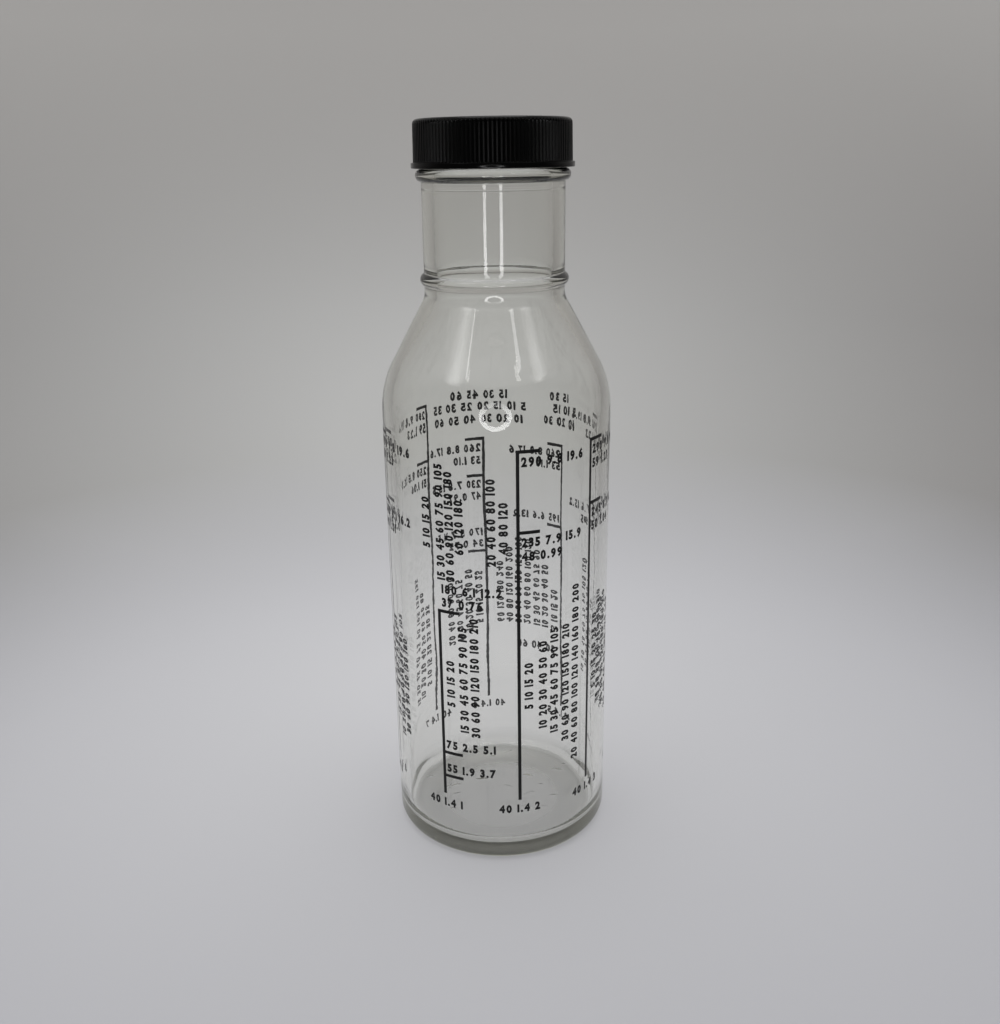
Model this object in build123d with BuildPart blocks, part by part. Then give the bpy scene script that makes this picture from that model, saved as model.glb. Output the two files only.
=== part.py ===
from math import acos, atan2, cos, degrees, pi, radians, sin, tan
import os

from build123d import *

os.makedirs("parts", exist_ok=True)

# A clear glass shaker bottle for mixing salad dressing, closed by a ribbed black screw cap
# with a sealing liner, and printed round its body with fired enamel measuring scales.
# Millimetres. The origin is the centre of the foot on the table, and +Z is up the axis.
# Directions round the bottle are turns from -Y, the front, towards +X, the right.

# Glass body
body_diameter = 61.74
body_wall = 2.6
heel_radius = 3.5
foot_ring_width = 3.0
push_up = 1.2
push_up_flat_share = 0.45
floor_height = 3.4
inner_heel_radius = 5.0

# Shoulder, given by the sharp corners that its two curves round off
shoulder_corner_height = 130.8
shoulder_rise = 22.8
shoulder_radius = 27.3

# Neck, with the rounded ring at its foot
neck_diameter = 36.68
neck_wall = 3.14
neck_length = 30.04
neck_hollow_radius = 5.0
neck_ring_lift = 4.4
neck_ring_radius = 1.7
neck_ring_rise = 1.03
neck_ring_blend = 0.5

# Transfer bead under the cap, whose middle is where the neck ends
bead_radius = 1.55
bead_rise = 1.41

# Finish, a 38 mm continuous thread of six turns to the inch
finish_height = 11.16
finish_step = 0.94
thread_rise = 1.2
thread_pitch = 25.4 / 6
thread_turns = 1.25
thread_root_width = 2.4
thread_crest_width = 1.2
thread_root_depth = 0.4
thread_lead_in = 8.0
thread_start_turn = 0.1
thread_mesh_share = 0.5
lip_outer_share = 0.4
lip_inner_share = 0.32

# Screw cap
cap_foot_gap = 0.13
cap_wall = 1.2
cap_draft = 0.15
cap_panel = 1.2
cap_edge_radius = 1.2
cap_flange_reach = 0.59
cap_flange_height = 1.35
cap_rib_count = 120
cap_groove_depth = 0.35
cap_groove_width = 0.56
cap_thread_turns = 1.2
cap_thread_root_width = 1.6
cap_thread_crest_width = 0.9
cap_thread_inset = 0.5

# Cap liner, the soft disc that seals on the lip
liner_thickness = 1.0
liner_edge_clearance = 0.3

# Running clearances between the cap and the finish
cap_clearance = 0.3
thread_clearance = 0.4

# Enamel scales: one upright line with level marks to its right
scale_foot_height = 19.8
scale_shoulder_gap = 11.0
scale_line_width = 0.9
scale_mark_length = 5.8
scale_enamel = 0.15
scale_directions = (-30.7, 9.3, 51.0, 94.0, 138.0, -172.0, -134.0, -82.0)
scale_mark_shares = (
    (0.562, 0.138, 0.064),
    (1.0, 0.788),
    (1.0, 0.829),
    (1.0, 0.74),
    (0.872, 0.615),
    (0.878, 0.765, 0.518),
    (1.0, 0.835),
    (1.0, 0.81),
)

# Flats that stand for small rounds and for a thread's curve, and the overrun of a cut
small_round_flat_count = 2
ring_flat_count = 4
thread_flat_count = 24
overrun = 1.0

# Sizes that follow from the ones above
body_radius = body_diameter / 2
body_inner_radius = body_radius - body_wall
neck_radius = neck_diameter / 2
bore_radius = neck_radius - neck_wall
finish_radius = neck_radius - finish_step
thread_radius = finish_radius + thread_rise
finish_wall = finish_radius - bore_radius
foot_ring_radius = body_radius - heel_radius - foot_ring_width
neck_corner_height = shoulder_corner_height + shoulder_rise
neck_ring_height = neck_corner_height + neck_ring_lift
bead_height = neck_corner_height + neck_length
lip_height = bead_height + finish_height
shoulder_slope = atan2(body_radius - neck_radius, shoulder_rise)
cap_inner_radius = thread_radius + cap_clearance
cap_crest_radius = finish_radius + thread_clearance
cap_radius = cap_inner_radius + cap_wall
cap_flange_radius = cap_radius + cap_flange_reach
cap_foot_height = bead_height + bead_radius + cap_foot_gap
cap_ceiling_height = lip_height + liner_thickness
cap_top_height = cap_ceiling_height + cap_panel
liner_radius = cap_inner_radius - liner_edge_clearance
scale_top_height = shoulder_corner_height - scale_shoulder_gap

# Where the two threads begin, meshed at half a pitch from each other
thread_climb = thread_pitch * thread_turns
thread_foot_height = lip_height - finish_wall * lip_outer_share - thread_root_width / 2 - thread_climb
cap_thread_foot_height = cap_foot_height + cap_thread_inset + cap_thread_root_width / 2
thread_foot_lift = cap_thread_foot_height - thread_foot_height
cap_thread_start_turn = thread_start_turn + thread_foot_lift / thread_pitch + thread_mesh_share


def round_points(centre, radius, first_angle, last_angle, flats):
    """Points along a round of this centre and radius, joined by this many flats."""
    points = []
    for flat in range(flats + 1):
        angle = radians(first_angle + (last_angle - first_angle) * flat / flats)
        points.append((centre[0] + radius * cos(angle), centre[1] + radius * sin(angle)))
    return points


def ring_points(rise, radius, height, lower_wall, upper_wall):
    """Points up a ring that stands this far out of the neck, from wall to wall."""
    centre = (neck_radius + rise - radius, height)
    first_angle = -degrees(acos((lower_wall - centre[0]) / radius))
    last_angle = degrees(acos((upper_wall - centre[0]) / radius))
    return round_points(centre, radius, first_angle, last_angle, ring_flat_count)


def add_thread(foot_height, start_turn, turns, root_radius, crest_radius, root_width, crest_width):
    """Join a right-hand thread to the part, as slices that climb and fade in at both ends."""
    steps = round(turns * thread_flat_count)
    length = 2 * pi * crest_radius * turns
    end_fullness_share = 0.2
    sections = []
    for step in range(steps + 1):
        turned = turns * step / steps
        angle = 2 * pi * (start_turn + turned)
        distance = length * step / steps
        lead_share = min(1, distance / thread_lead_in, (length - distance) / thread_lead_in)
        fullness = end_fullness_share + (1 - end_fullness_share) * lead_share
        crest = root_radius + (crest_radius - root_radius) * fullness
        root_half = root_width / 2 * fullness
        crest_half = crest_width / 2 * fullness
        slice_plane = Plane(
            origin=(0, 0, foot_height + thread_pitch * turned),
            x_dir=(cos(angle), sin(angle), 0),
            z_dir=(sin(angle), -cos(angle), 0),
        )
        with BuildSketch(slice_plane, mode=Mode.PRIVATE) as section:
            Polygon(
                (root_radius, -root_half),
                (crest, -crest_half),
                (crest, crest_half),
                (root_radius, root_half),
                align=None,
            )
        sections.append(section.sketch)
    loft(sections=sections, ruled=True)


def make_glass_bottle():
    """The moulded glass: foot, body, shoulder, neck with its ring and bead, and threaded finish."""
    lip_outer_radius = finish_wall * lip_outer_share
    lip_inner_radius = finish_wall * lip_inner_share
    inner_shoulder_radius = shoulder_radius - body_wall
    inner_shoulder_height = shoulder_corner_height - shoulder_radius * tan(shoulder_slope / 2)
    inner_shoulder_centre = (body_inner_radius - inner_shoulder_radius, inner_shoulder_height)
    inner_hollow_radius = neck_hollow_radius + neck_wall
    inner_hollow_height = neck_corner_height + neck_hollow_radius * tan(shoulder_slope / 2)
    inner_hollow_centre = (bore_radius + inner_hollow_radius, inner_hollow_height)
    ring = ring_points(
        neck_ring_rise,
        neck_ring_radius,
        neck_ring_height,
        neck_radius + neck_ring_blend / 2,
        neck_radius + neck_ring_blend / 2,
    )
    ring_foot = (neck_radius, ring[0][1] - neck_ring_blend)
    with BuildPart() as glass_bottle:
        with BuildSketch(Plane.XZ):
            with BuildLine():
                Polyline(
                    (0, push_up),
                    (foot_ring_radius * push_up_flat_share, push_up),
                    (foot_ring_radius, 0),
                    *round_points(
                        (body_radius - heel_radius, heel_radius),
                        heel_radius,
                        -90,
                        0,
                        small_round_flat_count,
                    ),
                )
                FilletPolyline(
                    (body_radius, heel_radius),
                    (body_radius, shoulder_corner_height),
                    (neck_radius, neck_corner_height),
                    ring_foot,
                    radius=[shoulder_radius, neck_hollow_radius],
                )
                Polyline(
                    ring_foot,
                    *ring,
                    (neck_radius, ring[-1][1] + neck_ring_blend),
                    *ring_points(bead_rise, bead_radius, bead_height, neck_radius, finish_radius),
                    *round_points(
                        (finish_radius - lip_outer_radius, lip_height - lip_outer_radius),
                        lip_outer_radius,
                        0,
                        90,
                        small_round_flat_count,
                    ),
                    *round_points(
                        (bore_radius + lip_inner_radius, lip_height - lip_inner_radius),
                        lip_inner_radius,
                        90,
                        180,
                        small_round_flat_count,
                    ),
                    *round_points(
                        inner_hollow_centre,
                        inner_hollow_radius,
                        180,
                        180 + degrees(shoulder_slope),
                        small_round_flat_count,
                    ),
                    *round_points(
                        inner_shoulder_centre,
                        inner_shoulder_radius,
                        degrees(shoulder_slope),
                        0,
                        small_round_flat_count,
                    ),
                    *round_points(
                        (body_inner_radius - inner_heel_radius, floor_height + inner_heel_radius),
                        inner_heel_radius,
                        0,
                        -90,
                        small_round_flat_count,
                    ),
                    (0, floor_height),
                    (0, push_up),
                )
            make_face()
        revolve(axis=Axis.Z)
        add_thread(
            thread_foot_height,
            thread_start_turn,
            thread_turns,
            finish_radius - thread_root_depth,
            thread_radius,
            thread_root_width,
            thread_crest_width,
        )
    glass_bottle.part.label = "glass_bottle"
    export_step(glass_bottle.part, "parts/glass_bottle.step")


def make_screw_cap():
    """The moulded cap: flat panel, finely ribbed skirt, foot flange and inner thread."""
    flange_top_height = cap_foot_height + cap_flange_height
    edge_foot_height = cap_top_height - cap_edge_radius
    with BuildPart() as screw_cap:
        with BuildSketch(Plane.XZ):
            with BuildLine():
                Polyline(
                    (0, cap_top_height),
                    *round_points(
                        (cap_radius - cap_draft - cap_edge_radius, edge_foot_height),
                        cap_edge_radius,
                        90,
                        0,
                        small_round_flat_count,
                    ),
                    (cap_radius, flange_top_height),
                    (cap_flange_radius, flange_top_height),
                    (cap_flange_radius, cap_foot_height),
                    (cap_inner_radius, cap_foot_height),
                    (cap_inner_radius, cap_ceiling_height),
                    (0, cap_ceiling_height),
                    close=True,
                )
            make_face()
        revolve(axis=Axis.Z)
        with BuildSketch(Plane.XY.offset(flange_top_height)):
            with PolarLocations(cap_radius, cap_rib_count):
                Polygon(
                    (overrun, -cap_groove_width / 2),
                    (0, -cap_groove_width / 2),
                    (-cap_groove_depth, 0),
                    (0, cap_groove_width / 2),
                    (overrun, cap_groove_width / 2),
                    align=None,
                )
        extrude(amount=edge_foot_height - flange_top_height, mode=Mode.SUBTRACT)
        add_thread(
            cap_thread_foot_height,
            cap_thread_start_turn,
            cap_thread_turns,
            cap_inner_radius + thread_root_depth,
            cap_crest_radius,
            cap_thread_root_width,
            cap_thread_crest_width,
        )
    screw_cap.part.label = "screw_cap"
    export_step(screw_cap.part, "parts/screw_cap.step")


def make_cap_liner():
    """The soft disc held under the cap's panel, lying on the lip when the cap is shut."""
    with BuildPart() as cap_liner:
        with BuildSketch(Plane.XY.offset(lip_height)):
            Circle(liner_radius)
        extrude(amount=liner_thickness)
    cap_liner.part.label = "cap_liner"
    export_step(cap_liner.part, "parts/cap_liner.step")


def make_enamel_scale(number, direction, mark_shares):
    """One enamel scale: an upright line and its marks, wrapped on the round body."""
    turn = radians(direction)
    scale_run = scale_top_height - scale_foot_height
    drawing_plane = Plane(
        origin=(0, 0, 0),
        x_dir=(cos(turn), sin(turn), 0),
        z_dir=(sin(turn), -cos(turn), 0),
    )
    with BuildPart() as enamel_scale:
        with BuildSketch(drawing_plane):
            with Locations((0, scale_foot_height)):
                Rectangle(
                    scale_line_width,
                    scale_run * mark_shares[0],
                    align=(Align.CENTER, Align.MIN),
                )
            for mark_share in mark_shares:
                with Locations((0, scale_foot_height + scale_run * mark_share)):
                    Rectangle(
                        scale_mark_length,
                        scale_line_width,
                        align=(Align.MIN, Align.MAX),
                    )
        extrude(amount=body_radius + overrun)
        with BuildSketch(Plane.XY.offset(scale_foot_height - overrun)):
            Circle(body_radius + scale_enamel)
            Circle(body_radius, mode=Mode.SUBTRACT)
        extrude(amount=scale_run + 2 * overrun, mode=Mode.INTERSECT)
    name = f"enamel_scale_{number}"
    enamel_scale.part.label = name
    export_step(enamel_scale.part, f"parts/{name}.step")


make_glass_bottle()
make_screw_cap()
make_cap_liner()
for index, direction in enumerate(scale_directions):
    make_enamel_scale(index + 1, direction, scale_mark_shares[index])
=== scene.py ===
from math import atan2, cos, degrees, exp, floor, hypot, pi, radians, sin, tan

import bmesh
import bpy
from mathutils import Matrix, Vector, noise


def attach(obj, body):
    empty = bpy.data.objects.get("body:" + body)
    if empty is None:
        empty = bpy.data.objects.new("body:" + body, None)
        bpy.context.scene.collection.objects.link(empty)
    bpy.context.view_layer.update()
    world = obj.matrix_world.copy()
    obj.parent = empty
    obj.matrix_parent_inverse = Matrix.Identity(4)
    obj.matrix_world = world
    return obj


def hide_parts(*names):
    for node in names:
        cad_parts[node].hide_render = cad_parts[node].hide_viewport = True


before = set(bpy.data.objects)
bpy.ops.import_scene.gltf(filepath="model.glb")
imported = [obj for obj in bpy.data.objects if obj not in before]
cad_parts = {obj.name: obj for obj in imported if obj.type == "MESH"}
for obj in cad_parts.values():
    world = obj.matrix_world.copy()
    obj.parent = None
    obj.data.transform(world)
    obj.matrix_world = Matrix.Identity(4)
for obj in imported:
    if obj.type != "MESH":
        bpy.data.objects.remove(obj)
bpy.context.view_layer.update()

# A clear glass shaker bottle for salad dressing, with a ribbed black screw cap and
# fired enamel scales round its body. Lengths are in millimetres up to the last step of
# each piece, where MM turns them to metres. Directions round the bottle are turns in
# degrees from -Y, the front, towards +X, the right.
MM = 0.001
WEDGES = 16

# Glass, drawn a hair inside the part's so that the film of print stays in its box
BODY_RADIUS = 30.835
WALL = 2.6
HEEL_RADIUS = 3.5
FOOT_RING_RADIUS = 24.37
PUSH_UP = 1.2
FLOOR_HEIGHT = 3.4
INNER_HEEL_RADIUS = 5.0
SHOULDER_CORNER = 130.8
SHOULDER_RISE = 22.8
SHOULDER_RADIUS = 27.3
NECK_RADIUS = 18.34
NECK_WALL = 3.14
NECK_CORNER = SHOULDER_CORNER + SHOULDER_RISE
NECK_HOLLOW_RADIUS = 5.0
RING_HEIGHT = 158.0
RING_RADIUS = 1.7
RING_RISE = 1.03
BEAD_HEIGHT = 183.64
BEAD_RADIUS = 1.55
BEAD_RISE = 1.41
FINISH_RADIUS = 17.4
BORE_RADIUS = NECK_RADIUS - NECK_WALL
LIP_HEIGHT = 194.8
LIP_OUTER_RADIUS = 0.88
LIP_INNER_RADIUS = 0.704
SHOULDER_SLOPE = atan2(BODY_RADIUS - NECK_RADIUS, SHOULDER_RISE)
SHOULDER_CENTRE_HEIGHT = SHOULDER_CORNER - SHOULDER_RADIUS * tan(SHOULDER_SLOPE / 2)
HOLLOW_CENTRE_HEIGHT = NECK_CORNER + NECK_HOLLOW_RADIUS * tan(SHOULDER_SLOPE / 2)
PARTING_HEIGHT = 180.3

# Unevenness of the glass: the moulded seam, and a slow and a fine wave inside, each with
# its rise, its length round the bottle and its length upwards
SEAM_DIRECTION = 29.0
SEAM_RISE = 0.012
SEAM_WIDTH = 0.5
SLOW_WAVE = (0.16, 16, 34)
FINE_WAVE = (0.035, 6, 15)
NECK_WAVE_SHARE = 0.45

# Threads, a right-hand pair of six turns to the inch
THREAD_PITCH = 25.4 / 6
THREAD_LEAD_IN = 8.0
GLASS_THREAD_FOOT = 187.428
GLASS_THREAD_START = 0.1
GLASS_THREAD_TURNS = 1.25
GLASS_THREAD_RISE = 1.2
GLASS_THREAD_WIDTHS = (2.4, 1.2)
CAP_THREAD_FOOT = 186.62
CAP_THREAD_START = 0.4091
CAP_THREAD_TURNS = 1.2
CAP_THREAD_RISE = 1.1
CAP_THREAD_WIDTHS = (1.6, 0.9)

# Cap and liner
CAP_FOOT = 185.32
CAP_CEILING = 195.8
CAP_TOP = 196.99
CAP_RADIUS = 20.1
CAP_DRAFT = 0.15
CAP_EDGE_RADIUS = 1.2
CAP_INNER_RADIUS = 18.9
FLANGE_RADIUS = 20.69
FLANGE_HEIGHT = 1.35
RIB_COUNT = 120
RIB_STEPS = 6
GROOVE_DEPTH = 0.35
LINER_RADIUS = 18.6

# Print
PRINT_STAND = 0.013
PRINT_BED = 0.03
LINE_WIDTH = 0.9
BAR_STEP = 0.9
LABEL_INDENT = 0.9
MARK_LENGTH = 5.8
SCALE_FOOT = 19.8
LABEL_HEIGHT = 2.65
LABEL_PITCH = 3.8
LABEL_RISE, LABEL_DROP, FOOT_LABEL_DROP = 0.8, 0.9, 1.4
COLUMN_HEIGHT = 2.55
BACK_ROW_HEIGHT = 2.85
FIGURE_SWELL = 0.058
FIGURE_GAP = 0.16
WORD_GAP = 0.5
FIGURE_NARROWING = 0.86

# Millilitres in each measure, and the height that the round of the heel takes from the floor
OUNCE = 29.57
TABLESPOON = 14.79
TEASPOON = 4.93
CUP = 236.6
HEEL_LOSS = 0.6

# Camera, as fitted to the photograph: focal length in pixels, then place and angles
PHOTO_HEIGHT = 1024
FOCAL_LENGTH = 1048.1
CAMERA_DISTANCE = 278.07
CAMERA_HEIGHT = 189.27
CAMERA_TILT, CAMERA_TURN, CAMERA_ROLL = 0.3319, 0.0021, -0.0137

# The stage is a floor that curves up into a round backdrop, with two pools of light painted into
# its tone
FLOOR_RADIUS = 150
CURVE_RADIUS = 300
BACKDROP_RADIUS = FLOOR_RADIUS + CURVE_RADIUS
BACKDROP_HEIGHT = 460
STAGE_DROP = 0.06
FLOOR_PAINTED_LIGHT_POOL = (-20, 75, 0)
WALL_PAINTED_LIGHT_POOL = (-30, 300, 40)

# A ring light round the camera, and the point that the lamps face
LAMP_AIM = (0, 0, 120)
RING_CENTRE = (-6, -290, 152)
RING_LIGHT_RADIUS = 65
RING_BAND = 24
RING_STRENGTH = 8.0
# Watts for each square millimetre of a side lamp, and the light of the room
SIDE_POWER = 1.6e-6
ROOM_STRENGTH = 1.4
# Painted light and shade on the stage: tones from the middle of each painted pool of light to its
# edge, then painted shade high up and near the camera
FLOOR_PAINTED_LIGHT_TONES = ("cccccf", "aaaaaf")
WALL_PAINTED_LIGHT_TONES = ("b8b8b7", "8a8887")
UPPER_PAINTED_SHADE_TONE = "a7a5a3"
NEAR_PAINTED_SHADE_TONE = "606060"


def linear(hex_colour, alpha=1.0):
    """The linear colour of an sRGB hex value such as "8a8a8a"."""
    parts = [int(hex_colour[i : i + 2], 16) / 255 for i in (0, 2, 4)]
    return (*[p / 12.92 if p <= 0.04045 else ((p + 0.055) / 1.055) ** 2.4 for p in parts], alpha)


def add_node(material, kind, settings=None, **inputs):
    """Add one node. Its inputs are values, or sockets to link from, by name or as in_0, in_1."""
    tree = material.node_tree
    node = tree.nodes.new(kind)
    for name, value in (settings or {}).items():
        setattr(node, name, value)
    for name, value in inputs.items():
        key = int(name[3:]) if name.startswith("in_") else name.replace("_", " ")
        socket = node.inputs[key]
        if isinstance(value, bpy.types.NodeSocket):
            tree.links.new(value, socket)
        else:
            socket.default_value = value
    return node


def new_material(name):
    """An empty material and its output node."""
    material = bpy.data.materials.new(name)
    material.use_nodes = True
    material.node_tree.nodes.clear()
    return material, add_node(material, "ShaderNodeOutputMaterial")


def finish_material(material, output, shader):
    """Give a material its surface."""
    material.node_tree.links.new(shader, output.inputs["Surface"])
    return material


def operate(owner, operation, first, second=0.0):
    """The result of one sum on two values or sockets."""
    node = add_node(owner, "ShaderNodeMath", {"operation": operation}, in_0=first, in_1=second)
    return node.outputs["Value"]


def spread(owner, value, start, end, low=0.0, high=1.0):
    """A value moved from one range to another, and held at its ends."""
    node = add_node(
        owner,
        "ShaderNodeMapRange",
        Value=value,
        From_Min=start,
        From_Max=end,
        To_Min=low,
        To_Max=high,
    )
    return node.outputs["Result"]


def noise_at(owner, place, grain, **inputs):
    """Noise with features about this many millimetres across."""
    node = add_node(owner, "ShaderNodeTexNoise", Vector=place, Scale=1 / (grain * MM), **inputs)
    return node.outputs["Fac"]


def mixed(owner, share, first, second):
    """A colour between two, by this share."""
    node = add_node(
        owner, "ShaderNodeMix", {"data_type": "RGBA"}, in_0=share, in_6=first, in_7=second
    )
    return node.outputs[2]


def bumped(owner, height, rise, **inputs):
    """The direction of a surface that is bumped by up to this many millimetres."""
    inputs = {"Strength": 1.0, **inputs}
    node = add_node(owner, "ShaderNodeBump", Height=height, Distance=rise * MM, **inputs)
    return node.outputs["Normal"]


def arc(centre, radius, first, last, steps):
    """Points on a round of this centre and radius, from one angle to another in degrees."""
    angles = [radians(first + (last - first) * i / steps) for i in range(steps + 1)]
    return [(centre[0] + radius * cos(a), centre[1] + radius * sin(a)) for a in angles]


def run(start, end, pitch):
    """Points on a straight run, about this far apart, with its ends left out."""
    length = hypot(end[0] - start[0], end[1] - start[1])
    count = max(1, round(length / pitch))
    return [
        (start[0] + (end[0] - start[0]) * i / count, start[1] + (end[1] - start[1]) * i / count)
        for i in range(1, count)
    ]


def smooth(share):
    """A share eased at both ends."""
    share = min(1, max(0, share))
    return share * share * (3 - 2 * share)


def spin_profile(points, steps):
    """Turn a profile of radius and height points into a closed mesh round the Z axis."""
    mesh = bmesh.new()
    verts = [mesh.verts.new((r, 0, z)) for r, z in points]
    edges = [mesh.edges.new(pair) for pair in zip(verts, verts[1:])]
    bmesh.ops.spin(
        mesh,
        geom=verts + edges,
        axis=(0, 0, 1),
        cent=(0, 0, 0),
        steps=steps // WEDGES,
        angle=2 * pi / WEDGES,
    )
    wedge = mesh.verts[:] + mesh.edges[:] + mesh.faces[:]
    for number in range(1, WEDGES):
        copy = bmesh.ops.duplicate(mesh, geom=wedge)["geom"]
        bmesh.ops.rotate(
            mesh,
            cent=(0, 0, 0),
            matrix=Matrix.Rotation(2 * pi * number / WEDGES, 3, "Z"),
            verts=[item for item in copy if isinstance(item, bmesh.types.BMVert)],
        )
    bmesh.ops.remove_doubles(mesh, verts=mesh.verts, dist=1e-4)
    bmesh.ops.recalc_face_normals(mesh, faces=mesh.faces)
    return mesh


def make_object(mesh, name, material):
    """Turn a millimetre mesh into an object in metres."""
    bmesh.ops.scale(mesh, vec=(MM, MM, MM), verts=mesh.verts)
    data = bpy.data.meshes.new(name)
    mesh.to_mesh(data)
    mesh.free()
    data.materials.append(material)
    made = bpy.data.objects.new(name, data)
    bpy.context.scene.collection.objects.link(made)
    return made


def finish_piece(mesh, name, material, body, nodes=(), smooth_angle=None):
    """Turn a millimetre mesh into a piece that rides on a body and stands for its nodes."""
    piece = make_object(mesh, name, material)
    if smooth_angle is None:
        piece.data.shade_flat()
    else:
        piece.data.shade_smooth()
        if smooth_angle < 180:
            piece.data.set_sharp_from_angle(angle=radians(smooth_angle))
    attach(piece, body)
    if nodes:
        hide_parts(*nodes)
    return piece


def thread_share(angle, height, foot, start, turns, widths):
    """How far a thread stands out at this angle and height, as a share of its full rise."""
    turned = angle / (2 * pi) - start
    turned -= floor(turned)
    share = 0
    while turned <= turns:
        distance = 2 * pi * FINISH_RADIUS * min(turned, turns - turned)
        full = 0.2 + 0.8 * min(1, distance / THREAD_LEAD_IN)
        away = abs(height - foot - THREAD_PITCH * turned)
        root_half, crest_half = widths[0] / 2 * full, widths[1] / 2 * full
        share = max(share, full * smooth((root_half - away) / (root_half - crest_half)))
        turned += 1
    return share


def push_out(vert, distance):
    """Move a vertex away from the Z axis."""
    radius = hypot(vert.co.x, vert.co.y)
    if radius > 1e-6:
        vert.co.x *= 1 + distance / radius
        vert.co.y *= 1 + distance / radius


def make_camera():
    """A camera at the place and angle of the photograph."""
    data = bpy.data.cameras.new("camera")
    camera = bpy.data.objects.new("camera", data)
    bpy.context.scene.collection.objects.link(camera)
    data.sensor_fit = "AUTO"
    data.sensor_width = 36
    data.lens = data.sensor_width * FOCAL_LENGTH / PHOTO_HEIGHT
    data.clip_start, data.clip_end = 0.01, 20
    camera.matrix_world = (
        Matrix.Translation((0, -CAMERA_DISTANCE * MM, CAMERA_HEIGHT * MM))
        @ Matrix.Rotation(-CAMERA_TURN, 4, "Z")
        @ Matrix.Rotation(pi / 2 - CAMERA_TILT, 4, "X")
        @ Matrix.Rotation(CAMERA_ROLL, 4, "Z")
    )
    bpy.context.scene.camera = camera


make_camera()


# Soda-lime flint glass, blow-moulded and fire-polished: clear and hard-edged, with a faint
# green-grey body that shows only where the eye looks along the wall or through the base,
# and a slow ripple from the mould that bends what is seen through it.
def make_glass():
    material, output = new_material("soda_lime_flint_glass")
    place = add_node(material, "ShaderNodeTexCoord").outputs["Object"]
    parts = add_node(material, "ShaderNodeSeparateXYZ", Vector=place).outputs
    tall = add_node(material, "ShaderNodeMapping", Vector=place, Scale=(1, 1, 0.45))
    ripple = noise_at(material, tall.outputs["Vector"], 5, Detail=1.5, Roughness=0.45)
    normal = bumped(material, ripple, 0.012)
    # The wall blown against air is less even than the moulded one
    flat = add_node(material, "ShaderNodeCombineXYZ", X=parts["X"], Y=parts["Y"])
    radius = add_node(
        material, "ShaderNodeVectorMath", {"operation": "LENGTH"}, in_0=flat.outputs["Vector"]
    )
    inside = spread(
        material,
        radius.outputs["Value"],
        (BODY_RADIUS - WALL * 0.6) * MM,
        (BODY_RADIUS - WALL * 0.4) * MM,
        1.0,
        0.0,
    )
    chill = noise_at(material, place, 1.6, Detail=1.0)
    normal = bumped(material, operate(material, "MULTIPLY", chill, inside), 0.006, Normal=normal)
    # Small marks that the mould leaves under the base
    wide = add_node(material, "ShaderNodeMapping", Vector=place, Scale=(0.8, 1.5, 1))
    spots = noise_at(material, wide.outputs["Vector"], 4.4, Detail=0.0)
    raised = spread(material, spots, 0.7, 0.88)
    underneath = spread(material, parts["Z"], PUSH_UP * MM, (PUSH_UP + 0.2) * MM, 1.0, 0.0)
    marks = operate(material, "MULTIPLY", raised, underneath)
    normal = bumped(material, marks, 0.14, Normal=normal)
    # The foot ring is stippled, so that it scatters the light that the base leads down to it
    stipple = spread(material, parts["Z"], 0.25 * MM, 0.9 * MM, 0.45, 0.0)
    glass = add_node(
        material,
        "ShaderNodeBsdfPrincipled",
        Base_Color=linear("fefefe"),
        Roughness=stipple,
        IOR=1.52,
        Transmission_Weight=1.0,
        Normal=normal,
    )
    tint = add_node(material, "ShaderNodeVolumeAbsorption", Color=linear("dfe45e"), Density=10.0)
    material.node_tree.links.new(tint.outputs["Volume"], output.inputs["Volume"])
    return finish_material(material, output, glass.outputs["BSDF"])


# Black polypropylene, injection moulded: a semi-gloss skin with a faint grain from the
# tool, so that highlights are soft along the ribs and the flat top stays satin.
def make_cap_plastic():
    material, output = new_material("moulded_black_polypropylene")
    place = add_node(material, "ShaderNodeTexCoord").outputs["Object"]
    grain = noise_at(material, place, 0.35, Detail=3.0, Roughness=0.6)
    handled = noise_at(material, place, 9, Detail=3.0)
    gloss = spread(material, handled, 0.3, 0.7, 0.3, 0.42)
    # The rim and the flange come off the steel smoother than the ribbed wall
    height = add_node(material, "ShaderNodeSeparateXYZ", Vector=place).outputs["Z"]
    above = operate(material, "SUBTRACT", height, (CAP_FOOT + CAP_TOP) / 2 * MM)
    reach = operate(material, "ABSOLUTE", above)
    polish = spread(material, reach, 4.4 * MM, 4.7 * MM, 1.0, 0.4)
    plastic = add_node(
        material,
        "ShaderNodeBsdfPrincipled",
        Base_Color=linear("030303"),
        Roughness=operate(material, "MULTIPLY", gloss, polish),
        IOR=1.49,
        Specular_IOR_Level=0.15,
        Normal=bumped(material, grain, 0.008),
    )
    return finish_material(material, output, plastic.outputs["BSDF"])


# Foamed polyethylene sheet, die cut: matt and off-white, with a fine closed-cell grain.
def make_liner_foam():
    material, output = new_material("foamed_polyethylene")
    place = add_node(material, "ShaderNodeTexCoord").outputs["Object"]
    cells = add_node(material, "ShaderNodeTexVoronoi", Vector=place, Scale=1 / (0.45 * MM))
    distance = cells.outputs["Distance"]
    foam = add_node(
        material,
        "ShaderNodeBsdfPrincipled",
        Base_Color=mixed(material, distance, linear("e4e2da"), linear("cfccc2")),
        Roughness=0.75,
        IOR=1.5,
        Normal=bumped(material, distance, 0.05),
    )
    return finish_material(material, output, foam.outputs["BSDF"])


# Fired enamel ink, screen printed: a dense black film that is a little glossier where it
# lies thick, with a faint unevenness from the screen.
def make_enamel():
    material, output = new_material("fired_black_enamel")
    place = add_node(material, "ShaderNodeTexCoord").outputs["Object"]
    film = noise_at(material, place, 0.6, Detail=3.0)
    ink = add_node(
        material,
        "ShaderNodeBsdfPrincipled",
        Base_Color=mixed(material, film, linear("050506"), linear("0f0f10")),
        Roughness=spread(material, film, 0.0, 1.0, 0.28, 0.5),
        IOR=1.5,
        Specular_IOR_Level=0.3,
    )
    return finish_material(material, output, ink.outputs["BSDF"])


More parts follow.
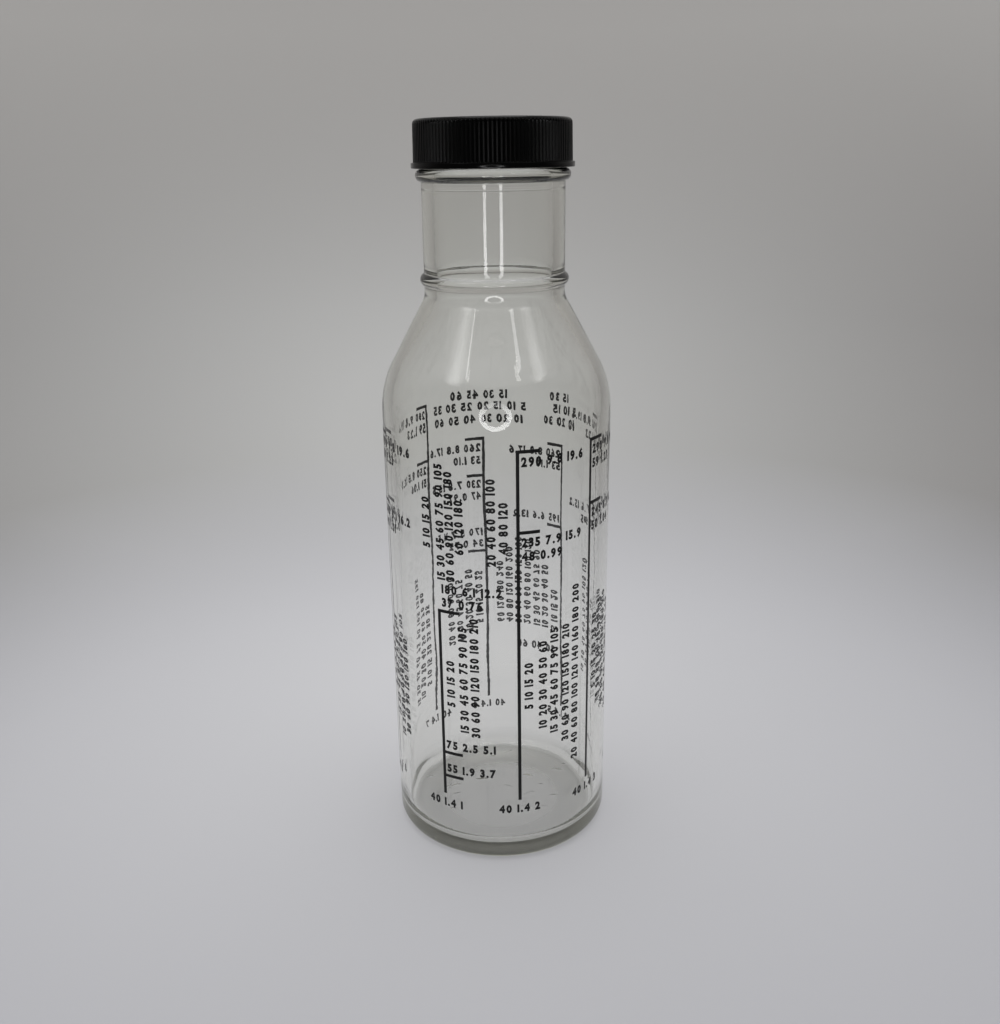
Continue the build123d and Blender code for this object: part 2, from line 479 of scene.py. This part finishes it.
GLASS = make_glass()
CAP_PLASTIC = make_cap_plastic()
LINER_FOAM = make_liner_foam()
ENAMEL = make_enamel()


def ring_round(rise, radius, height, lower_wall, upper_wall, steps):
    """A ring's round from one wall radius to another, at this height."""
    centre = (NECK_RADIUS + rise - radius, height)
    low = (lower_wall - centre[0]) / radius
    high = (upper_wall - centre[0]) / radius
    first = -degrees(atan2((1 - low * low) ** 0.5, low))
    last = degrees(atan2((1 - high * high) ** 0.5, high))
    return arc(centre, radius, first, last, steps)


def outer_profile():
    """The outside of the glass, from the middle of the push-up to the top of the lip."""
    share_steps = 30
    dome = [
        (FOOT_RING_RADIUS * i / share_steps, PUSH_UP * (1 - (i / share_steps) ** 2) ** 1.3)
        for i in range(share_steps)
    ]
    slope = degrees(SHOULDER_SLOPE)
    heel = arc((BODY_RADIUS - HEEL_RADIUS, HEEL_RADIUS), HEEL_RADIUS, -90, 0, 12)
    shoulder_centre = (BODY_RADIUS - SHOULDER_RADIUS, SHOULDER_CENTRE_HEIGHT)
    shoulder = arc(shoulder_centre, SHOULDER_RADIUS, 0, slope, 14)
    hollow_centre = (NECK_RADIUS + NECK_HOLLOW_RADIUS, HOLLOW_CENTRE_HEIGHT)
    hollow = arc(hollow_centre, NECK_HOLLOW_RADIUS, 180 + slope, 180, 7)
    ring_wall = NECK_RADIUS + 0.25
    ring = ring_round(RING_RISE, RING_RADIUS, RING_HEIGHT, ring_wall, ring_wall, 12)
    ring_foot = [(NECK_RADIUS, ring[0][1] - 0.5), (NECK_RADIUS + 0.07, ring[0][1] - 0.22)]
    ring_head = [(NECK_RADIUS + 0.07, ring[-1][1] + 0.22), (NECK_RADIUS, ring[-1][1] + 0.5)]
    bead = ring_round(BEAD_RISE, BEAD_RADIUS, BEAD_HEIGHT, NECK_RADIUS, FINISH_RADIUS, 14)
    parting = [
        (NECK_RADIUS, PARTING_HEIGHT - 0.3),
        (NECK_RADIUS, PARTING_HEIGHT - 0.1),
        (NECK_RADIUS + 0.09, PARTING_HEIGHT),
        (NECK_RADIUS, PARTING_HEIGHT + 0.1),
        (NECK_RADIUS, PARTING_HEIGHT + 0.3),
    ]
    bead_foot = [(NECK_RADIUS, bead[0][1] - 0.6), (NECK_RADIUS + 0.05, bead[0][1] - 0.2)]
    lip_centre = (FINISH_RADIUS - LIP_OUTER_RADIUS, LIP_HEIGHT - LIP_OUTER_RADIUS)
    lip = arc(lip_centre, LIP_OUTER_RADIUS, 0, 90, 6)
    return [
        *dome,
        (FOOT_RING_RADIUS, 0),
        *run((FOOT_RING_RADIUS, 0), heel[0], 1),
        *heel,
        *run(heel[-1], shoulder[0], 2.2),
        *shoulder,
        *run(shoulder[-1], hollow[0], 1.5),
        *hollow,
        *ring_foot,
        *ring,
        *ring_head,
        *run(ring_head[-1], parting[0], 2),
        *parting,
        *bead_foot,
        *bead,
        *run(bead[-1], lip[0], 0.28),
        *lip,
    ]


def inner_profile():
    """The inside of the glass, from the lip down the bore to the middle of the floor."""
    slope = degrees(SHOULDER_SLOPE)
    inner_radius = BODY_RADIUS - WALL
    shoulder_radius = SHOULDER_RADIUS - WALL
    hollow_radius = NECK_HOLLOW_RADIUS + NECK_WALL
    lip_centre = (BORE_RADIUS + LIP_INNER_RADIUS, LIP_HEIGHT - LIP_INNER_RADIUS)
    lip = arc(lip_centre, LIP_INNER_RADIUS, 90, 180, 5)
    hollow_centre = (BORE_RADIUS + hollow_radius, HOLLOW_CENTRE_HEIGHT)
    hollow = arc(hollow_centre, hollow_radius, 180, 180 + slope, 8)
    shoulder_centre = (inner_radius - shoulder_radius, SHOULDER_CENTRE_HEIGHT)
    shoulder = arc(shoulder_centre, shoulder_radius, slope, 0, 14)
    heel_centre = (inner_radius - INNER_HEEL_RADIUS, FLOOR_HEIGHT + INNER_HEEL_RADIUS)
    heel = arc(heel_centre, INNER_HEEL_RADIUS, 0, -90, 12)
    return [
        *lip,
        *run(lip[-1], hollow[0], 2.5),
        *hollow,
        *run(hollow[-1], shoulder[0], 1.5),
        *shoulder,
        *run(shoulder[-1], heel[0], 2.2),
        *heel,
        *run(heel[-1], (0, FLOOR_HEIGHT), 1.5),
        (0, FLOOR_HEIGHT),
    ]


def wave_at(x, y, z, wave, shift=0):
    """How far a wave of unevenness stands out at this place."""
    rise, across, upwards = wave
    return rise * noise.noise(Vector((x / across, y / across, z / upwards + shift)))


def make_bottle():
    """The glass, spun from its profile, then given its thread, seam and slow unevenness."""
    mesh = spin_profile(outer_profile() + inner_profile(), 256)
    seams = (radians(SEAM_DIRECTION - 90), radians(SEAM_DIRECTION + 90))
    for vert in mesh.verts:
        x, y, z = vert.co
        radius, angle = hypot(x, y), atan2(y, x)
        if radius < 1e-3:
            continue
        inside = 0 < z - FLOOR_HEIGHT and radius < inner_limit(z)
        if radius >= FINISH_RADIUS - 0.01 and z > BEAD_HEIGHT + 1:
            share = thread_share(
                angle,
                z,
                GLASS_THREAD_FOOT,
                GLASS_THREAD_START,
                GLASS_THREAD_TURNS,
                GLASS_THREAD_WIDTHS,
            )
            push_out(vert, GLASS_THREAD_RISE * share)
        elif inside:
            wave = wave_at(x, y, z, SLOW_WAVE) + wave_at(x, y, z, FINE_WAVE, 40)
            push_out(vert, wave * (1 if z < NECK_CORNER else NECK_WAVE_SHARE))
        elif z > HEEL_RADIUS and z < BEAD_HEIGHT - 1.6:
            near = min(abs(atan2(sin(angle - s), cos(angle - s))) for s in seams)
            push_out(vert, SEAM_RISE * exp(-((near * radius / SEAM_WIDTH) ** 2)))
    return finish_piece(
        mesh, "bottle_glass", GLASS, "bottle", ["glass_bottle"], smooth_angle=180
    )


def inner_limit(z):
    """A radius in the middle of the wall at this height, to tell the inside from the outside."""
    if z > NECK_CORNER:
        return NECK_RADIUS - NECK_WALL / 2
    if z > SHOULDER_CORNER - 7:
        share = (z - SHOULDER_CORNER) / SHOULDER_RISE
        return min(BODY_RADIUS, BODY_RADIUS - (BODY_RADIUS - NECK_RADIUS) * share) - WALL / 2 - 0.6
    return BODY_RADIUS - WALL / 2


def cap_profile():
    """The cap's section, from the middle of its top round to the middle of its ceiling."""
    edge_centre = (CAP_RADIUS - CAP_DRAFT - CAP_EDGE_RADIUS, CAP_TOP - CAP_EDGE_RADIUS)
    top_edge = arc(edge_centre, CAP_EDGE_RADIUS, 90, 0, 7)
    flange_top = CAP_FOOT + FLANGE_HEIGHT
    skirt_foot = (CAP_RADIUS, flange_top + 0.25)
    # The dimple in the middle of the top is where the plastic was fed in
    dimple = CAP_TOP - 0.12
    top = [(0, dimple), (1.1, dimple), (1.35, CAP_TOP), (6, CAP_TOP), (12, CAP_TOP)]
    flange = [
        (CAP_RADIUS + 0.02, flange_top + 0.06),
        (CAP_RADIUS + 0.14, flange_top),
        (FLANGE_RADIUS - 0.22, flange_top),
        (FLANGE_RADIUS - 0.06, flange_top - 0.06),
        (FLANGE_RADIUS, flange_top - 0.22),
        (FLANGE_RADIUS, CAP_FOOT + 0.22),
        (FLANGE_RADIUS - 0.06, CAP_FOOT + 0.06),
        (FLANGE_RADIUS - 0.22, CAP_FOOT),
        (CAP_INNER_RADIUS + 0.2, CAP_FOOT),
        (CAP_INNER_RADIUS + 0.05, CAP_FOOT + 0.06),
        (CAP_INNER_RADIUS, CAP_FOOT + 0.2),
    ]
    inner = [
        *run(flange[-1], (CAP_INNER_RADIUS, CAP_CEILING), 0.3),
        (CAP_INNER_RADIUS, CAP_CEILING),
        (12, CAP_CEILING),
        (0, CAP_CEILING),
    ]
    return [
        *top,
        *top_edge,
        *run(top_edge[-1], skirt_foot, 1.4),
        skirt_foot,
        *flange,
        *inner,
    ]


def make_cap():
    """The cap, spun from its section, then given its ribs and its inner thread."""
    mesh = spin_profile(cap_profile(), RIB_COUNT * RIB_STEPS)
    groove_shares = [0, 0, 0.55, 1, 0.55, 0]
    edge_foot = CAP_TOP - CAP_EDGE_RADIUS
    rib_foot = CAP_FOOT + FLANGE_HEIGHT + 0.2
    for vert in mesh.verts:
        x, y, z = vert.co
        radius, angle = hypot(x, y), atan2(y, x)
        if radius > CAP_INNER_RADIUS + 0.4 and z > rib_foot:
            step = round(angle / (2 * pi) * RIB_COUNT * RIB_STEPS) % RIB_STEPS
            fade = 1 - smooth((z - edge_foot + 0.1) / (CAP_EDGE_RADIUS * 0.85))
            push_out(vert, -GROOVE_DEPTH * groove_shares[step] * fade)
        elif abs(radius - CAP_INNER_RADIUS) < 0.01 and z < CAP_CEILING - 0.05:
            share = thread_share(
                angle, z, CAP_THREAD_FOOT, CAP_THREAD_START, CAP_THREAD_TURNS, CAP_THREAD_WIDTHS
            )
            push_out(vert, -CAP_THREAD_RISE * share)
    return finish_piece(
        mesh, "cap_moulding", CAP_PLASTIC, "cap", ["screw_cap"], smooth_angle=32
    )


def make_liner():
    """The liner disc, with soft cut edges and the ring that the lip presses into it."""
    thickness = CAP_CEILING - LIP_HEIGHT
    press = [(BORE_RADIUS + 0.5 + i * 0.35, 0.12 * sin(pi * i / 5)) for i in range(6)]
    profile = [
        (0, 0),
        (8, 0),
        *press,
        *arc((LINER_RADIUS - 0.2, 0.2), 0.2, -90, 0, 3),
        *arc((LINER_RADIUS - 0.12, thickness - 0.12), 0.12, 0, 90, 3),
        (9, thickness),
        (0, thickness),
    ]
    mesh = spin_profile([(r, LIP_HEIGHT + z) for r, z in profile], 128)
    return finish_piece(
        mesh, "liner_disc", LINER_FOAM, "liner", ["cap_liner"], smooth_angle=40
    )


def wrap(verts, direction, height):
    """Lay flat print on the body: x runs to the right, y up, and z is the film's thickness."""
    for vert in verts:
        turn = radians(direction) + vert.co.x / BODY_RADIUS
        radius = BODY_RADIUS + vert.co.z
        vert.co = (radius * sin(turn), -radius * cos(turn), height + vert.co.y)


def faces_of(verts):
    """The faces that meet at these vertices, each once and in a fixed order."""
    return list(dict.fromkeys(face for vert in verts for face in vert.link_faces))


def add_bar(mesh, left, right, bottom, top, direction, height):
    """Add one printed bar, cut across often enough to lie on the round body."""
    steps = max(1, round((right - left) / BAR_STEP))
    sheet = bmesh.ops.create_grid(mesh, x_segments=steps, y_segments=1, size=0.5)["verts"]
    faces = faces_of(sheet)
    raised = bmesh.ops.extrude_face_region(mesh, geom=faces, use_keep_orig=True)["geom"]
    lifted = [item for item in raised if isinstance(item, bmesh.types.BMVert)]
    bmesh.ops.translate(mesh, vec=(0, 0, PRINT_STAND + PRINT_BED), verts=lifted)
    made = sheet + lifted
    bmesh.ops.recalc_face_normals(mesh, faces=faces_of(made))
    bmesh.ops.scale(mesh, vec=(right - left, top - bottom, 1), verts=made)
    middle = ((left + right) / 2, (bottom + top) / 2, -PRINT_BED)
    bmesh.ops.translate(mesh, vec=middle, verts=made)
    wrap(made, direction, height)


def make_figures():
    """The flat shapes of the figures 0 to 9 and the point, one unit tall, with their widths."""
    figures = {}
    scene = bpy.context.scene
    for character in "8012345679.":
        curve = bpy.data.curves.new("figure", "FONT")
        curve.body = character
        curve.resolution_u = 2
        curve.offset = FIGURE_SWELL
        curve.extrude = 0.5
        holder = bpy.data.objects.new("figure", curve)
        scene.collection.objects.link(holder)
        bpy.context.view_layer.update()
        graph = bpy.context.evaluated_depsgraph_get()
        data = bpy.data.meshes.new_from_object(holder.evaluated_get(graph))
        xs = [v.co.x for v in data.vertices]
        ys = [v.co.y for v in data.vertices]
        if character == "8":
            scale = 1 / (max(ys) - min(ys))
            base = min(ys)
        data.transform(
            Matrix.Diagonal((scale, scale, 1, 1)) @ Matrix.Translation((-min(xs), -base, 0))
        )
        figures[character] = (data, (max(xs) - min(xs)) * scale)
        bpy.data.objects.remove(holder)
    return figures


FIGURES = make_figures()


def row_width(text, letter_height):
    """The printed width of a row of figures."""
    width = 0
    for character in text:
        width += WORD_GAP if character == " " else FIGURES[character][1] + FIGURE_GAP
    return (width - FIGURE_GAP) * letter_height * FIGURE_NARROWING


def add_row(mesh, text, letter_height, direction, height, upward=False):
    """Add a row of figures, its start at this direction and height, read along or upwards."""
    pen = 0
    thickness = PRINT_STAND + PRINT_BED
    for character in text:
        if character == " ":
            pen += WORD_GAP
            continue
        data, width = FIGURES[character]
        first = len(mesh.verts)
        mesh.from_mesh(data)
        mesh.verts.ensure_lookup_table()
        made = mesh.verts[first:]
        bmesh.ops.translate(mesh, vec=(pen, 0, 0), verts=made)
        size = (letter_height * FIGURE_NARROWING, letter_height, thickness)
        bmesh.ops.scale(mesh, vec=size, verts=made)
        bmesh.ops.translate(mesh, vec=(0, 0, (PRINT_STAND - PRINT_BED) / 2), verts=made)
        if upward:
            quarter = Matrix.Rotation(pi / 2, 3, "Z")
            bmesh.ops.rotate(mesh, cent=(0, 0, 0), matrix=quarter, verts=made)
        wrap(made, direction, height)
        pen += width + FIGURE_GAP


def millilitres(height):
    """What the bottle holds up to this height, to the nearest five millilitres."""
    area = pi * (BODY_RADIUS - WALL) ** 2 / 1000
    return 5 * round(area * (height - FLOOR_HEIGHT - HEEL_LOSS) / 5)


def counting_row(step, length, letter_height):
    """A row of figures that counts in this step for about this length."""
    text = str(step)
    count = 2
    while row_width(f"{text} {step * count}", letter_height) <= length:
        text = f"{text} {step * count}"
        count += 1
    return text


# Each scale: direction, the heights of its marks from the top down, and where the rows of
# figures stand at each mark: above it (1 or 2 rows) or below it (-1 or -2 rows).
SCALES = [
    (-30.7, [(76.0, 2), (33.6, 1), (26.2, 1)]),
    (9.3, [(119.8, -1), (98.6, -2)]),
    (51.0, [(119.8, -2), (102.7, -2)]),
    (94.0, [(119.8, -2), (93.8, -2)]),
    (138.0, [(107.0, -2), (81.3, 1)]),
    (-172.0, [(107.6, -2), (96.3, -2), (71.6, 2)]),
    (-134.0, [(119.8, -2), (103.3, -2)]),
    (-82.0, [(119.8, -2), (100.8, -2)]),
]


def mark_rows(height, rows):
    """The figures beside a mark: what it holds in millilitres, ounces, spoonfuls and cups."""
    held = millilitres(height)
    first = f"{held} {held / OUNCE:.1f} {held / TABLESPOON:.1f}"
    second = f"{held / TEASPOON:.0f} {held / CUP:.2f}"
    return [first, second][: abs(rows)]


def make_scale(number, direction, marks):
    """One scale's line and marks, and the figures that go with it."""
    top = marks[0][0]
    line = bmesh.new()
    half = LINE_WIDTH / 2
    add_bar(line, -half, half, 0, top - SCALE_FOOT, direction, SCALE_FOOT)
    for height, _ in marks:
        add_bar(line, half, MARK_LENGTH, -LINE_WIDTH, 0, direction, height)
    name = f"enamel_scale_{number}"
    finish_piece(line, f"scale_line_{number}", ENAMEL, "bottle", [name])
    figures = bmesh.new()
    indent = degrees(LABEL_INDENT / BODY_RADIUS)
    for height, rows in marks:
        texts = mark_rows(height, rows)
        for index, text in enumerate(texts):
            if rows > 0:
                base = height + LABEL_RISE + LABEL_PITCH * (len(texts) - 1 - index)
            else:
                base = height - LINE_WIDTH - LABEL_DROP - LABEL_HEIGHT - LABEL_PITCH * index
            add_row(figures, text, LABEL_HEIGHT, direction + indent, base)
    held = millilitres(SCALE_FOOT)
    foot = f"{held} {held / OUNCE:.1f} {number}"
    back = degrees(row_width(foot, LABEL_HEIGHT) / 2 / BODY_RADIUS)
    base = SCALE_FOOT - FOOT_LABEL_DROP - LABEL_HEIGHT
    add_row(figures, foot, LABEL_HEIGHT, direction - back, base)
    finish_piece(figures, f"scale_figures_{number}", ENAMEL, "bottle")


# Columns of figures that read upwards: direction, foot, top and the step they count in
COLUMNS = {
    "front": [
        (-37.0, 92.7, 110.8, 5),
        (-29.0, 84.4, 119.2, 15),
        (-24.0, 84.4, 119.0, 30),
        (-19.0, 92.0, 108.0, 60),
        (-3.5, 89.3, 114.5, 20),
        (2.3, 92.6, 110.6, 40),
        (-25.5, 47.7, 64.6, 5),
        (-18.5, 40.4, 76.0, 15),
        (-12.7, 39.3, 76.5, 30),
        (14.2, 47.8, 62.0, 5),
        (21.6, 41.3, 72.0, 10),
        (27.9, 39.1, 76.0, 15),
        (34.7, 35.4, 76.9, 30),
        (41.0, 28.5, 83.8, 20),
    ],
    "right": [
        (57.0, 47.0, 70.0, 5),
        (63.0, 42.0, 74.0, 15),
        (69.0, 39.0, 76.0, 30),
        (75.0, 36.0, 72.0, 20),
        (100.0, 46.0, 66.0, 5),
        (106.5, 41.0, 74.0, 10),
        (112.5, 38.0, 77.0, 15),
    ],
    "left": [
        (-76.0, 44.0, 66.0, 5),
        (-70.0, 36.0, 70.0, 15),
        (-64.0, 31.0, 64.0, 10),
        (-58.0, 33.0, 67.0, 30),
        (-127.5, 30.0, 60.0, 5),
        (-121.5, 27.0, 66.0, 10),
        (-115.5, 26.0, 70.0, 15),
    ],
    "back": [
        (142.9, 46.0, 64.0, 5),
        (149.4, 46.0, 70.0, 10),
        (155.3, 46.0, 73.0, 15),
        (161.5, 46.0, 75.0, 20),
        (167.6, 46.0, 77.0, 30),
        (173.5, 46.0, 77.0, 40),
        (179.4, 46.0, 71.0, 60),
        (-167.0, 46.0, 66.0, 5),
        (-161.0, 44.0, 68.0, 10),
        (-155.0, 41.0, 66.0, 15),
        (-149.0, 40.0, 68.0, 20),
    ],
}
# Rows of figures on their own, round the back: direction, height, length and step
BACK_ROWS = [
    (173.5, 119.3, 21.8, 15),
    (163.0, 115.6, 31.0, 5),
    (165.0, 111.5, 29.5, 10),
    (133.0, 119.6, 12.0, 15),
    (126.0, 115.8, 15.0, 5),
    (127.0, 112.0, 14.0, 10),
    (142.0, 37.6, 17.0, 20),
]


def make_columns(side, columns):
    """The upright columns of figures on one side of the bottle."""
    mesh = bmesh.new()
    for direction, foot, top, step in columns:
        text = counting_row(step, top - foot, COLUMN_HEIGHT)
        shift = degrees(COLUMN_HEIGHT / 2 / BODY_RADIUS)
        add_row(mesh, text, COLUMN_HEIGHT, direction + shift, foot, upward=True)
    finish_piece(mesh, f"column_figures_{side}", ENAMEL, "bottle")


def make_back_rows():
    """Rows of figures that stand on their own, read along."""
    mesh = bmesh.new()
    for direction, height, length, step in BACK_ROWS:
        text = counting_row(step, length, BACK_ROW_HEIGHT)
        add_row(mesh, text, BACK_ROW_HEIGHT, direction, height)
    finish_piece(mesh, "row_figures_back", ENAMEL, "bottle")


def background_share(owner):
    """One for rays from the camera and for those that glass and gloss pass on, else none."""
    rays = add_node(owner, "ShaderNodeLightPath").outputs
    shared = rays["Is Camera Ray"]
    for name in ("Is Glossy Ray", "Is Transmission Ray"):
        shared = operate(owner, "MAXIMUM", shared, rays[name])
    return shared


def away_from(owner, place, point):
    """The distance from a point given in millimetres."""
    settings = {"operation": "DISTANCE"}
    centre = Vector(point) * MM
    node = add_node(owner, "ShaderNodeVectorMath", settings, in_0=place, in_1=centre)
    return node.outputs["Value"]


# Seamless paper, matt coated and pale, with a tooth too fine to catch light. Its tone is painted
# with pools of light and with shade high up and round the camera. Half of that tone glows, so that
# it stays pale where it is seen through the object.
def make_paper():
    material, output = new_material("matt_paper_with_painted_light")
    place = add_node(material, "ShaderNodeTexCoord").outputs["Object"]
    parts = add_node(material, "ShaderNodeSeparateXYZ", Vector=place).outputs
    tooth = noise_at(material, place, 1.2, Detail=2.0)
    # Painted light and shade: the light pools round the object, and falls off across the backdrop,
    # higher up and round the camera
    share = spread(material, away_from(material, place, FLOOR_PAINTED_LIGHT_POOL), 30 * MM, 300 * MM)
    floor_painted_light = mixed(material, share, *map(linear, FLOOR_PAINTED_LIGHT_TONES))
    share = spread(material, away_from(material, place, WALL_PAINTED_LIGHT_POOL), 60 * MM, 330 * MM)
    wall_painted_light_and_shade = mixed(material, share, *map(linear, WALL_PAINTED_LIGHT_TONES))
    share = spread(material, parts["Z"], 100 * MM, 260 * MM)
    wall_painted_light_and_shade = mixed(material, share, wall_painted_light_and_shade, linear(UPPER_PAINTED_SHADE_TONE))
    share = spread(material, parts["Y"], 180 * MM, -120 * MM)
    wall_painted_light_and_shade = mixed(material, share, wall_painted_light_and_shade, linear(NEAR_PAINTED_SHADE_TONE))
    tone = mixed(material, spread(material, parts["Z"], 0, 35 * MM), floor_painted_light, wall_painted_light_and_shade)
    paper = add_node(
        material,
        "ShaderNodeBsdfPrincipled",
        Base_Color=tone,
        Roughness=0.9,
        Normal=bumped(material, tooth, 0.02, Strength=0.4),
    )
    # Painted light: half of the painted tone glows for rays from the camera, glass and gloss,
    # though the paper is no lamp, which also lifts the shadow
    glow = add_node(material, "ShaderNodeEmission", Color=tone, Strength=1.0)
    blend = add_node(
        material,
        "ShaderNodeMixShader",
        in_0=operate(material, "MULTIPLY", background_share(material), 0.5),
        in_1=paper.outputs["BSDF"],
        in_2=glow.outputs["Emission"],
    )
    return finish_material(material, output, blend.outputs[0])


def make_stage():
    """A plain floor that sweeps up into a round backdrop."""
    mesh = bmesh.new()
    turns = [radians(4 * i) for i in range(1, 23)]
    profile = [
        *[(radius, -STAGE_DROP) for radius in (0, 60, FLOOR_RADIUS)],
        *[
            (FLOOR_RADIUS + CURVE_RADIUS * sin(a), CURVE_RADIUS * (1 - cos(a)) - STAGE_DROP)
            for a in turns
        ],
        (BACKDROP_RADIUS, 380),
        (BACKDROP_RADIUS, BACKDROP_HEIGHT),
    ]
    verts = [mesh.verts.new((r, 0, z)) for r, z in profile]
    edges = [mesh.edges.new(pair) for pair in zip(verts, verts[1:])]
    turn = {"axis": (0, 0, 1), "cent": (0, 0, 0), "angle": 2 * pi, "use_merge": True}
    bmesh.ops.spin(mesh, geom=verts + edges, steps=96, **turn)
    bmesh.ops.remove_doubles(mesh, verts=mesh.verts, dist=1e-4)
    bmesh.ops.recalc_face_normals(mesh, faces=mesh.faces)
    bmesh.ops.reverse_faces(mesh, faces=mesh.faces)
    sweep = make_object(mesh, "sweep", make_paper())
    sweep.data.shade_smooth()


def add_area_light(name, place, aim, size, power):
    """A rectangular lamp at one point that faces another, its size in millimetres."""
    data = bpy.data.lights.new(name, "AREA")
    data.shape = "RECTANGLE"
    data.size, data.size_y = size[0] * MM, size[1] * MM
    data.energy = power
    lamp = bpy.data.objects.new(name, data)
    bpy.context.scene.collection.objects.link(lamp)
    lamp.location = Vector(place) * MM
    lamp.rotation_mode = "QUATERNION"
    lamp.rotation_quaternion = (Vector(aim) - Vector(place)).to_track_quat("-Z", "Y")
    lamp.visible_camera = False


# Opal acrylic diffuser, lit from within: an even glow, dimmer in its upper half.
def make_diffuser():
    material, output = new_material("ring_lamp_diffuser")
    place = add_node(material, "ShaderNodeTexCoord").outputs["Object"]
    height = add_node(material, "ShaderNodeSeparateXYZ", Vector=place).outputs["Z"]
    middle = RING_CENTRE[2]
    strength = spread(
        material,
        height,
        middle * MM,
        (middle + RING_LIGHT_RADIUS) * MM,
        RING_STRENGTH,
        RING_STRENGTH * 0.25,
    )
    glow = add_node(material, "ShaderNodeEmission", Strength=strength)
    return finish_material(material, output, glow.outputs["Emission"])


def make_ring_light():
    """A flat ring lamp round the camera, seen only where the glass and the cap mirror it."""
    mesh = bmesh.new()
    ends = [mesh.verts.new((RING_LIGHT_RADIUS + side * RING_BAND / 2, 0, 0)) for side in (-1, 1)]
    band = [*ends, mesh.edges.new(ends)]
    turn = {"axis": (0, 1, 0), "cent": (0, 0, 0), "angle": 2 * pi, "use_merge": True}
    bmesh.ops.spin(mesh, geom=band, steps=72, **turn)
    bmesh.ops.translate(mesh, vec=RING_CENTRE, verts=mesh.verts)
    lamp = make_object(mesh, "ring_lamp", make_diffuser())
    lamp.visible_camera = lamp.visible_diffuse = False
    lamp.visible_transmission = lamp.visible_shadow = False


def make_lights():
    """One lamp overhead, a soft one and a narrow one at each side, the ring and the room."""
    make_ring_light()
    add_area_light("overhead", (0, 60, 560), (0, 0, 0), (260, 260), 0.5)
    # Each soft side lamp is three lamps, one in front of another, so that its edge fades
    for side, place, size in (("left", (-318, -250, 470), 210), ("right", (365, -255, 470), 170)):
        for layer in range(3):
            wide = size * (1 - 0.3 * layer)
            lamp_place = Vector(place) * (1 - 0.004 * layer)
            power = SIDE_POWER * wide * wide
            name = f"side_{side}_{layer}"
            add_area_light(name, lamp_place, LAMP_AIM, (wide * 0.8, wide), power)
    add_area_light("streak_left", (-213, -285, 470), LAMP_AIM, (12, 60), 0.011)
    add_area_light("streak_right", (168, -285, 470), LAMP_AIM, (30, 50), 0.018)
    world = bpy.data.worlds.new("room")
    bpy.context.scene.world = world
    world.use_nodes = True
    tree = world.node_tree
    sky = tree.nodes["Background"]
    sky.inputs["Color"].default_value = linear("ffffff")
    sky.inputs["Strength"].default_value = ROOM_STRENGTH
    seen = add_node(world, "ShaderNodeBackground", Color=linear(WALL_PAINTED_LIGHT_TONES[0]))
    blend = add_node(
        world,
        "ShaderNodeMixShader",
        in_0=background_share(world),
        in_1=sky.outputs[0],
        in_2=seen.outputs[0],
    )
    tree.links.new(blend.outputs[0], tree.nodes["World Output"].inputs["Surface"])


make_bottle()
make_cap()
make_liner()
for index, (direction, marks) in enumerate(SCALES):
    make_scale(index + 1, direction, marks)
for side, columns in COLUMNS.items():
    make_columns(side, columns)
make_back_rows()
make_stage()
make_lights()

bpy.context.scene.view_settings.view_transform = "Standard"
